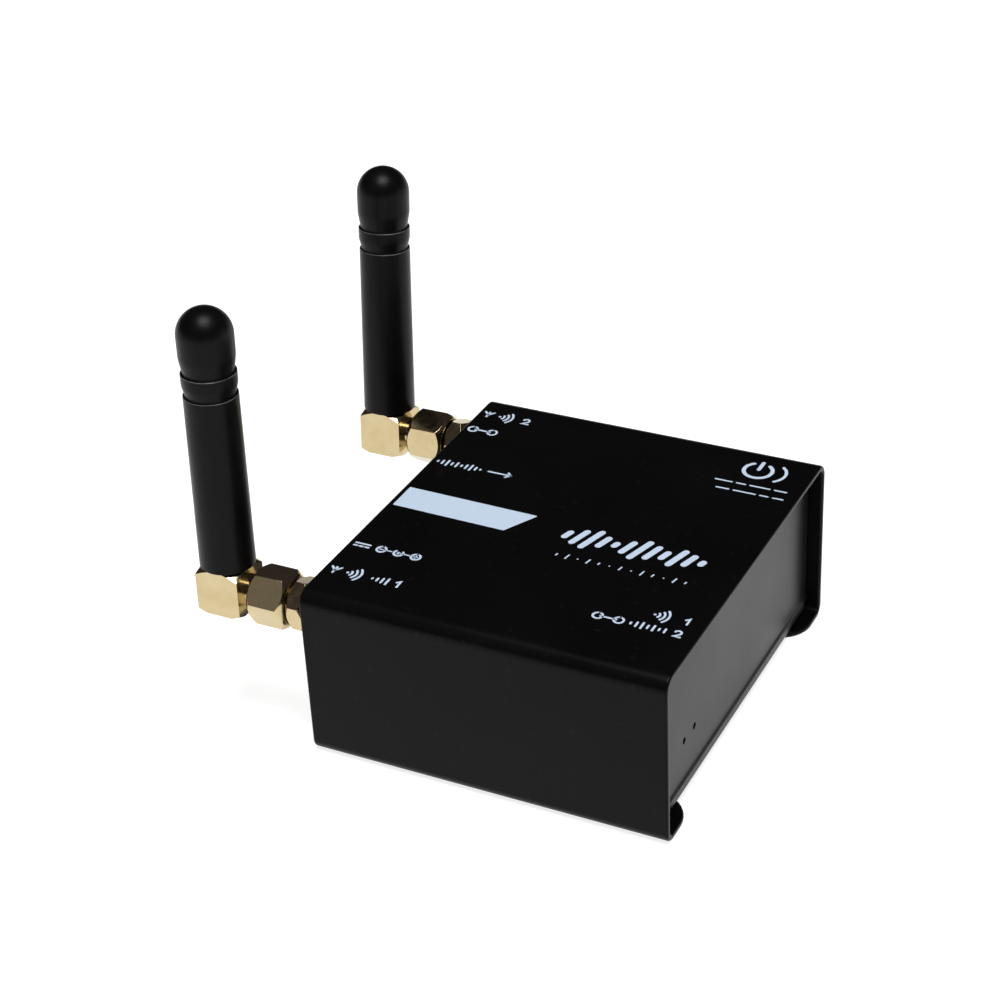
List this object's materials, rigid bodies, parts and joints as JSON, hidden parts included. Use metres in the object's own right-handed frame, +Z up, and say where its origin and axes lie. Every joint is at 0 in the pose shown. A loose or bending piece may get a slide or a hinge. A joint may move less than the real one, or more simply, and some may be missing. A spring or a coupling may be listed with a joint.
{
  "type": "bluetooth audio receiver",
  "caption": "Small black sheet-steel audio receiver box with gold antenna jacks and swivelling stub antennas at the rear, status lights at the front.",
  "frame": {"origin": "centre of the chassis pan's flat underside", "axes": "+X towards the front plate with the status lights, +Y towards the side of antenna 2, +Z up"},
  "size_m": [0.0778, 0.0651, 0.067],
  "materials": {
    "powder_coated_steel": "fine-textured semi-matt black powder coat",
    "gold_plated_brass": "polished gold plating",
    "plain_steel": "plain machined steel",
    "antenna_rubber": "satin moulded black",
    "white_insulator": "plain machined white",
    "circuit_board": "satin solder mask",
    "black_plastic": "moulded satin",
    "light_lens": "clear moulded",
    "can_aluminium": "satin",
    "cable_jacket": "translucent brown jacket"
  },
  "bodies": {
    "root": {"cover": "powder_coated_steel", "chassis_pan": "powder_coated_steel", "main_board": "circuit_board", "wireless_module": "circuit_board", "module_shield": "plain_steel", "audio_converter_chip": "black_plastic", "voltage_regulator": "black_plastic", "power_inductor": "black_plastic", "supply_capacitor": "can_aluminium", "audio_jack_housing": "black_plastic", "audio_jack_barrel": "black_plastic", "power_jack_housing": "black_plastic", "power_jack_pin": "plain_steel", "pairing_switch_housing": "plain_steel", "case_screw_1": "plain_steel", "standoff_1": "plain_steel", "board_screw_1": "plain_steel", "case_screw_2": "plain_steel", "standoff_2": "plain_steel", "board_screw_2": "plain_steel", "case_screw_3": "plain_steel", "standoff_3": "plain_steel", "board_screw_3": "plain_steel", "case_screw_4": "plain_steel", "standoff_4": "plain_steel", "board_screw_4": "plain_steel", "status_light_1": "light_lens", "jack_1_body": "gold_plated_brass", "jack_1_insulator": "white_insulator", "jack_1_contact": "gold_plated_brass", "jack_1_lock_washer": "gold_plated_brass", "jack_1_panel_nut": "gold_plated_brass", "pigtail_1_cable": "cable_jacket", "module_socket_1": "gold_plated_brass", "pigtail_1_plug": "gold_plated_brass", "status_light_2": "light_lens", "jack_2_body": "gold_plated_brass", "jack_2_insulator": "white_insulator", "jack_2_contact": "gold_plated_brass", "jack_2_lock_washer": "gold_plated_brass", "jack_2_panel_nut": "gold_plated_brass", "pigtail_2_cable": "cable_jacket", "module_socket_2": "gold_plated_brass", "pigtail_2_plug": "gold_plated_brass"},
    "antenna_1": {"antenna_1_elbow": "gold_plated_brass", "antenna_1_retaining_ring": "plain_steel", "antenna_1_insulator": "white_insulator", "antenna_1_pin": "gold_plated_brass", "antenna_1_whip": "antenna_rubber", "antenna_1_radiator": "gold_plated_brass"},
    "coupling_nut_1": {"antenna_1_coupling_nut": "gold_plated_brass"},
    "antenna_2": {"antenna_2_elbow": "gold_plated_brass", "antenna_2_retaining_ring": "plain_steel", "antenna_2_insulator": "white_insulator", "antenna_2_pin": "gold_plated_brass", "antenna_2_whip": "antenna_rubber", "antenna_2_radiator": "gold_plated_brass"},
    "coupling_nut_2": {"antenna_2_coupling_nut": "gold_plated_brass"},
    "pairing_button": {"pairing_button": "black_plastic"}
  },
  "joints": [
    {"name": "antenna_1_swivel", "type": "hinge", "parent": "root", "child": "antenna_1", "pos_m": [-0.0443, -0.0256, 0.02077], "axis": [1, 0, 0], "range_deg": [-23, 112]},
    {"name": "antenna_2_swivel", "type": "hinge", "parent": "root", "child": "antenna_2", "pos_m": [-0.0451, 0.0256, 0.02077], "axis": [-1, 0, 0], "range_deg": [-30, 105]},
    {"name": "coupling_nut_1_turn", "type": "hinge", "parent": "root", "child": "coupling_nut_1", "pos_m": [-0.036, -0.0256, 0.02077], "axis": [1, 0, 0], "continuous": true},
    {"name": "coupling_nut_2_turn", "type": "hinge", "parent": "root", "child": "coupling_nut_2", "pos_m": [-0.0368, 0.0256, 0.02077], "axis": [1, 0, 0], "continuous": true},
    {"name": "pairing_button_press", "type": "slide", "parent": "root", "child": "pairing_button", "axis": [1, 0, 0], "range_m": [0, 0.0005], "stiffness_N_per_m": 400, "springref_m": -0.0015}
  ]
}
